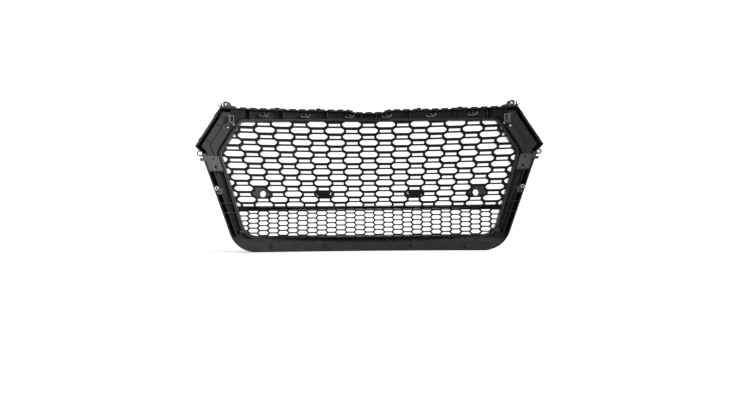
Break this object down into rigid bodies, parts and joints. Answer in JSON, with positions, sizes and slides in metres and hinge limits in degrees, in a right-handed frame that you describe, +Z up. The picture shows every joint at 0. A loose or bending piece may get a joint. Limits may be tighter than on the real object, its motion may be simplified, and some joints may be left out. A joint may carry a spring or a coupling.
{
  "type": "front grille",
  "caption": "Wide honeycomb front grille for a tall car: rear frame, glossy front trim, coarse and fine mesh panels, sensor holders and clip fixings.",
  "frame": {"origin": "under the middle of the grille at its bottom edge, midway between its rearmost lug and foremost trim", "axes": "+X across the car, +Y towards the front of the car, +Z up"},
  "size_m": [1.0562, 0.1932, 0.4645],
  "materials": {
    "frame_plastic": "black moulded plastic with a fine grain and a soft sheen",
    "panel_plastic": "dark grey smooth moulded plastic",
    "mesh_plastic": "black semi-gloss plastic",
    "rim_plastic": "grey-black moulded plastic",
    "trim_gloss": "piano-black lacquered plastic",
    "holder_plastic": "dark grey moulded plastic",
    "clip_plastic": "black tough plastic",
    "buffer_rubber": "soft black rubber",
    "screw_zinc": "zinc-plated steel",
    "eyelet_steel": "plain steel sleeve"
  },
  "bodies": {
    "root": {"upper_frame": "frame_plastic", "lower_frame": "frame_plastic", "front_trim_upper": "trim_gloss", "front_trim_lower": "trim_gloss", "mesh_rim": "rim_plastic", "upper_mesh": "mesh_plastic", "divider_bar": "mesh_plastic", "lower_mesh": "mesh_plastic", "sensor_holder_left": "holder_plastic", "sensor_holder_right": "holder_plastic", "plate_boss_left": "mesh_plastic", "plate_boss_right": "mesh_plastic", "cheek_panel_left": "panel_plastic", "cheek_panel_right": "panel_plastic", "rail_cover_left": "panel_plastic", "rail_cover_right": "panel_plastic", "waist_joiner_left": "panel_plastic", "waist_joiner_right": "panel_plastic", "ear_bracket_left": "clip_plastic", "ear_bracket_right": "clip_plastic", "corner_clip_left": "clip_plastic", "corner_clip_right": "clip_plastic", "waist_lug_left": "clip_plastic", "waist_lug_right": "clip_plastic", "side_lug_left": "clip_plastic", "side_lug_right": "clip_plastic", "edge_buffers_left": "buffer_rubber", "edge_buffers_right": "buffer_rubber", "rail_clip_1": "clip_plastic", "rail_clip_2": "clip_plastic", "rail_clip_3": "clip_plastic", "rail_clip_4": "clip_plastic", "rail_clip_5": "clip_plastic", "rail_clip_6": "clip_plastic", "top_hook_1": "clip_plastic", "top_hook_2": "clip_plastic", "top_hook_3": "clip_plastic", "top_hook_4": "clip_plastic", "rim_tabs": "rim_plastic", "foot_clip_left": "clip_plastic", "foot_clip_right": "clip_plastic", "joiner_screws": "screw_zinc", "panel_screws": "screw_zinc", "trim_screws": "screw_zinc", "lug_eyelets": "eyelet_steel"}
  },
  "joints": []
}
